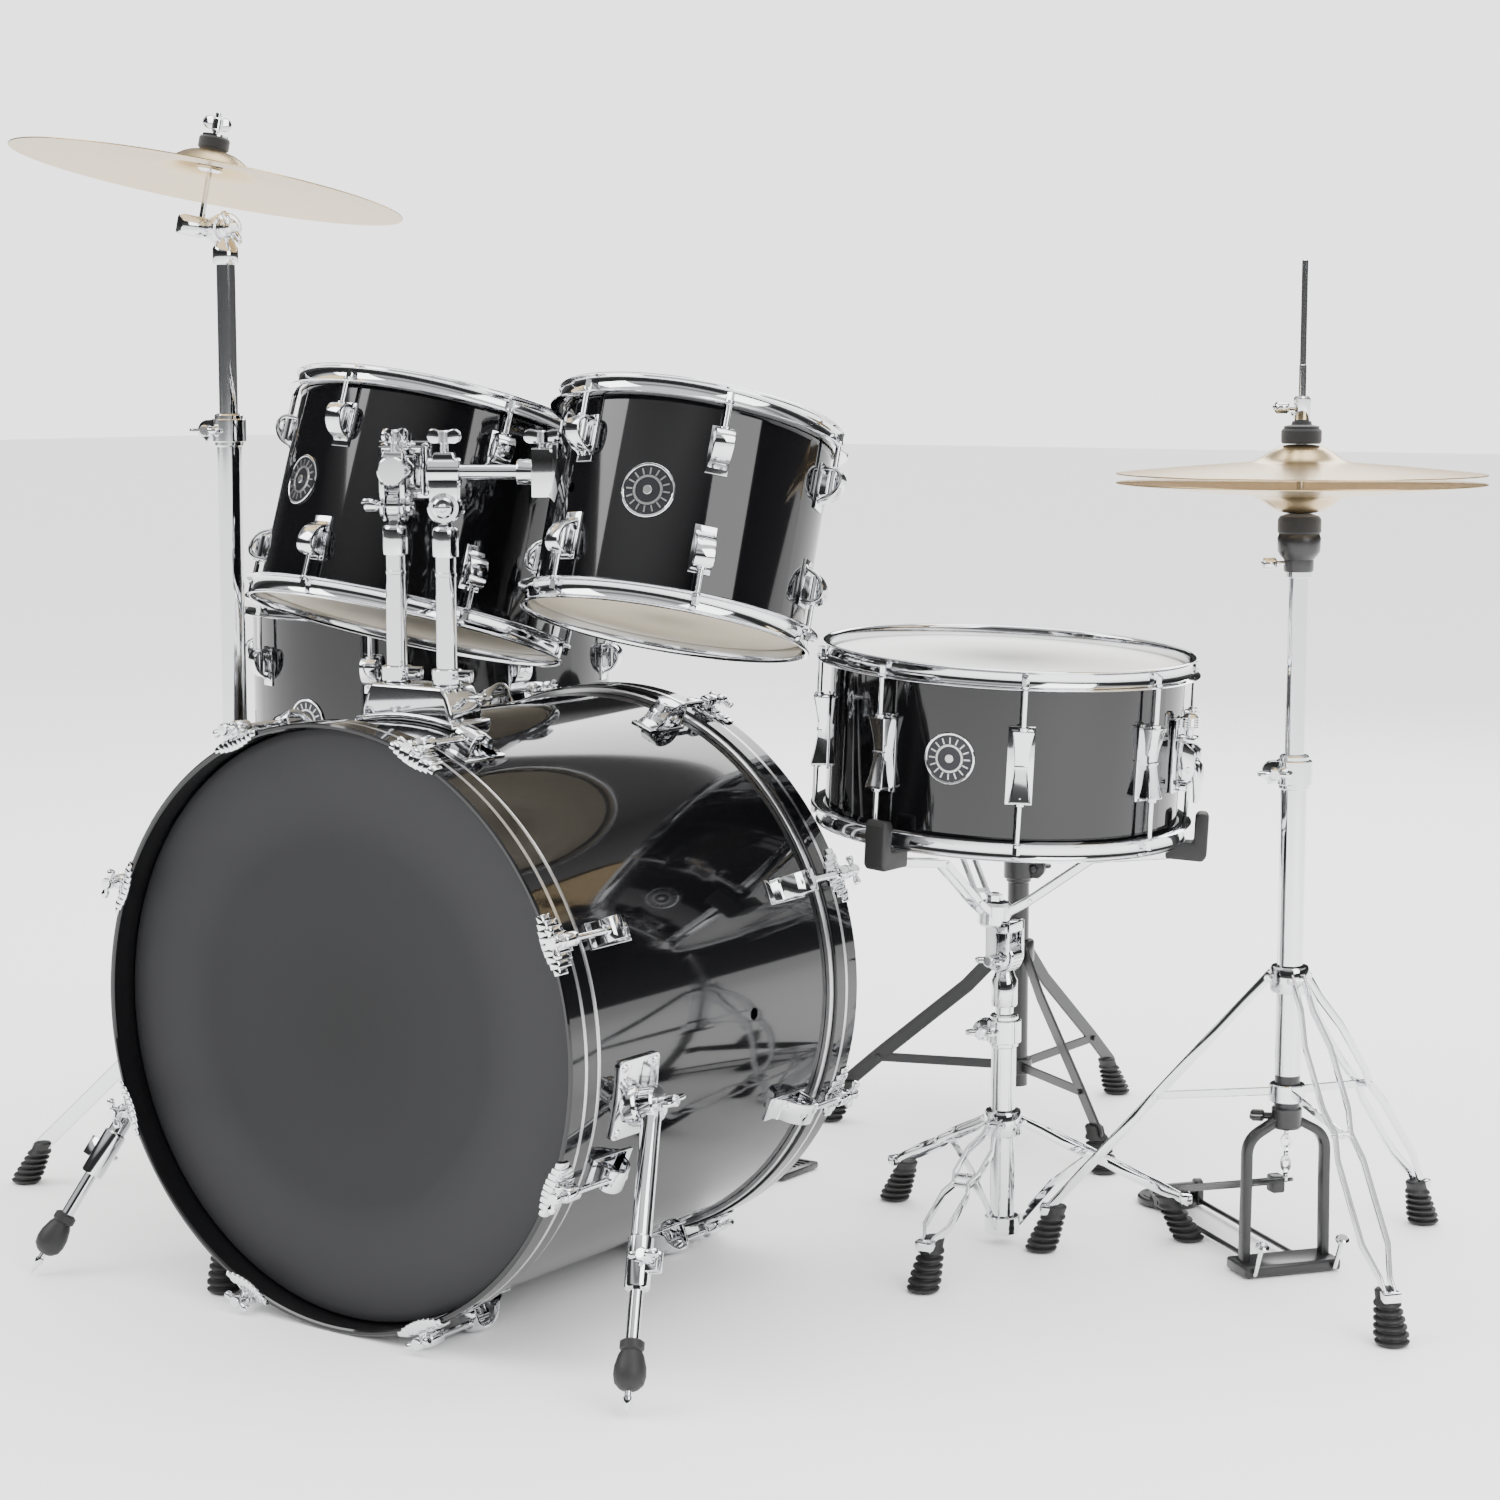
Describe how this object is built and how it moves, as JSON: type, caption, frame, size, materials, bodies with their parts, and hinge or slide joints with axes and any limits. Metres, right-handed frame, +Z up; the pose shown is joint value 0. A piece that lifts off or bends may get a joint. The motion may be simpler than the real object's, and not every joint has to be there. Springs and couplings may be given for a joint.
{
  "type": "acoustic drum kit",
  "caption": "Drum kit with bass drum, rack toms, floor tom, snare drum, hi-hat, crash cymbal, pedals and stool; every stand adjusts and both pedals work.",
  "frame": {"origin": "on the floor under the middle of the whole kit's bounding box", "axes": "+Z up, -Y the way the bass drum's front head faces (the audience), +X to the hi-hat's side; the player sits at +Y"},
  "size_m": [1.5078, 1.326, 1.1607],
  "materials": {
    "black_lacquer": "gloss black lacquer over a wooden shell",
    "dark_head": "satin charcoal plastic film",
    "clear_head": "translucent plastic film",
    "white_head": "coated white plastic film",
    "chrome": "polished chrome plate",
    "steel_wire": "coiled steel wire",
    "black_steel": "black powder coat",
    "rubber": "matt black rubber",
    "bronze": "lathed pale bronze",
    "seat_vinyl": "black vinyl over foam"
  },
  "bodies": {
    "kit": {"bass_shell": "black_lacquer", "bass_heads": "dark_head", "bass_hoops": "black_lacquer", "drum_lugs": "chrome", "bass_claws": "chrome", "bass_key_rods": "chrome", "spur_brackets": "chrome", "tom_mount_base": "chrome", "floor_tom_shell": "black_lacquer", "floor_tom_heads": "clear_head", "floor_tom_hoops": "chrome", "floor_tom_rods": "chrome", "floor_tom_leg_brackets": "chrome", "stand_legs": "chrome", "stand_tubes": "chrome", "rubber_feet": "rubber", "hihat_pedal_frame": "black_steel", "throne_legs": "black_steel", "bass_pedal_base": "black_steel"},
    "spur_left": {"spur_left": "chrome"},
    "spur_left_rod": {"spur_left_rod": "chrome"},
    "spur_right": {"spur_right": "chrome"},
    "spur_right_rod": {"spur_right_rod": "chrome"},
    "tom_post_left": {"tom_post_left": "chrome"},
    "tom_post_right": {"tom_post_right": "chrome"},
    "tom12": {"tom_arm_left": "chrome", "tom12_shell": "black_lacquer", "tom12_heads": "clear_head", "tom12_hoops": "chrome", "tom12_lugs": "chrome", "tom12_rods": "chrome"},
    "tom10": {"tom_arm_right": "chrome", "tom10_shell": "black_lacquer", "tom10_heads": "clear_head", "tom10_hoops": "chrome", "tom10_lugs": "chrome", "tom10_rods": "chrome"},
    "floor_tom_legs": {"floor_tom_legs": "chrome"},
    "snare_tube": {"snare_upper_tube": "chrome"},
    "snare_drum": {"snare_basket": "black_steel", "snare_shell": "black_lacquer", "snare_heads": "white_head", "snare_hoops": "chrome", "snare_lugs": "chrome", "snare_rods": "chrome", "snare_strainer": "chrome", "snare_wires": "steel_wire"},
    "snare_lever": {"snare_lever": "chrome"},
    "hihat_tube": {"hihat_upper_tube": "chrome", "hihat_bottom_cymbal": "bronze"},
    "hihat_rod": {"hihat_pull_rod": "chrome", "hihat_top_cymbal": "bronze"},
    "hihat_footboard": {"hihat_footboard": "black_steel"},
    "crash_tube": {"crash_upper_tube": "chrome"},
    "crash_tilter": {"crash_tilter": "chrome"},
    "crash_cymbal": {"crash_cymbal": "bronze"},
    "throne_post": {"throne_post": "black_steel"},
    "throne_seat": {"throne_seat": "seat_vinyl"},
    "bass_footboard": {"bass_pedal_footboard": "black_steel"},
    "bass_beater": {"bass_pedal_beater": "black_steel"}
  },
  "joints": [
    {"name": "spur_right_fold", "type": "hinge", "parent": "kit", "child": "spur_right", "pos_m": [0.201, -0.516, 0.239], "axis": [0.9649, 0.1339, 0.2258], "range_deg": [-60, 50]},
    {"name": "spur_right_reach", "type": "slide", "parent": "spur_right", "child": "spur_right_rod", "axis": [0.2625, -0.4924, -0.8299], "range_m": [-0.04, 0.03]},
    {"name": "spur_left_fold", "type": "hinge", "parent": "kit", "child": "spur_left", "pos_m": [-0.391, -0.516, 0.239], "axis": [0.9649, -0.1339, -0.2258], "range_deg": [-60, 50]},
    {"name": "spur_left_reach", "type": "slide", "parent": "spur_left", "child": "spur_left_rod", "axis": [-0.2625, -0.4924, -0.8299], "range_m": [-0.04, 0.03]},
    {"name": "tom_post_left_turn", "type": "hinge", "parent": "kit", "child": "tom_post_left", "pos_m": [-0.126, -0.482, 0.6], "axis": [0, 0, 1], "range_deg": [-4, 10]},
    {"name": "tom_post_right_turn", "type": "hinge", "parent": "kit", "child": "tom_post_right", "pos_m": [-0.064, -0.482, 0.6], "axis": [0, 0, 1], "range_deg": [-20, 4]},
    {"name": "tom12_tilt", "type": "hinge", "parent": "tom_post_left", "child": "tom12", "pos_m": [-0.126, -0.482, 0.767], "axis": [0.8686, 0.4955, 0], "range_deg": [-2, 15]},
    {"name": "tom10_tilt", "type": "hinge", "parent": "tom_post_right", "child": "tom10", "pos_m": [-0.064, -0.482, 0.767], "axis": [0.5592, -0.829, 0], "range_deg": [-10, 15]},
    {"name": "floor_tom_height", "type": "slide", "parent": "kit", "child": "floor_tom_legs", "axis": [0, 0, 1], "range_m": [-0.05, 0.08]},
    {"name": "snare_height", "type": "slide", "parent": "kit", "child": "snare_tube", "axis": [0, 0, 1], "range_m": [-0.005, 0.06]},
    {"name": "snare_tilt", "type": "hinge", "parent": "snare_tube", "child": "snare_drum", "pos_m": [0.269, -0.003, 0.3], "axis": [0, 1, 0], "range_deg": [0, 12]},
    {"name": "snare_throw_off", "type": "hinge", "parent": "snare_drum", "child": "snare_lever", "pos_m": [0.46061, 0.02856, 0.50476], "axis": [0.2073, -0.9781, -0.0165], "range_deg": [0, 80]},
    {"name": "hihat_height", "type": "slide", "parent": "kit", "child": "hihat_tube", "axis": [0, 0, 1], "range_m": [-0.06, 0.06]},
    {"name": "hihat_close", "type": "slide", "parent": "hihat_tube", "child": "hihat_rod", "axis": [0, 0, 1], "range_m": [-0.0075, 0]},
    {"name": "hihat_pedal", "type": "hinge", "parent": "kit", "child": "hihat_footboard", "pos_m": [0.35702, 0.22054, 0.02], "axis": [0.6088, 0.7934, 0], "range_deg": [0, 1.8], "stiffness_Nm_per_rad": 80, "springref_deg": -6.88},
    {"name": "crash_height", "type": "slide", "parent": "kit", "child": "crash_tube", "axis": [0, 0, 1], "range_m": [-0.12, 0.1]},
    {"name": "crash_tilt", "type": "hinge", "parent": "crash_tube", "child": "crash_tilter", "pos_m": [-0.4553, -0.3654, 1.04], "axis": [0.866, -0.5, 0], "range_deg": [-15, 25]},
    {"name": "crash_spin", "type": "hinge", "parent": "crash_tilter", "child": "crash_cymbal", "pos_m": [-0.48628, -0.36906, 1.04356], "axis": [0.0937, 0.1623, 0.9823], "continuous": true},
    {"name": "throne_height", "type": "slide", "parent": "kit", "child": "throne_post", "axis": [0, 0, 1], "range_m": [-0.04, 0.1]},
    {"name": "throne_turn", "type": "hinge", "parent": "throne_post", "child": "throne_seat", "pos_m": [0.0382, 0.4288, 0.4], "axis": [0, 0, 1], "continuous": true},
    {"name": "bass_pedal", "type": "hinge", "parent": "kit", "child": "bass_footboard", "pos_m": [-0.095, 0.075, 0.022], "axis": [1, 0, 0], "range_deg": [0, 12.8], "stiffness_Nm_per_rad": 3, "springref_deg": -34.38},
    {"name": "bass_beater", "type": "hinge", "parent": "kit", "child": "bass_beater", "pos_m": [-0.095, -0.129, 0.15], "axis": [1, 0, 0], "range_deg": [0, 33.5]}
  ],
  "couplings": [
    {"joint": "hihat_close", "follows": "hihat_pedal", "m_per_rad": -0.23},
    {"joint": "bass_beater", "follows": "bass_pedal", "ratio": 2.6}
  ]
}
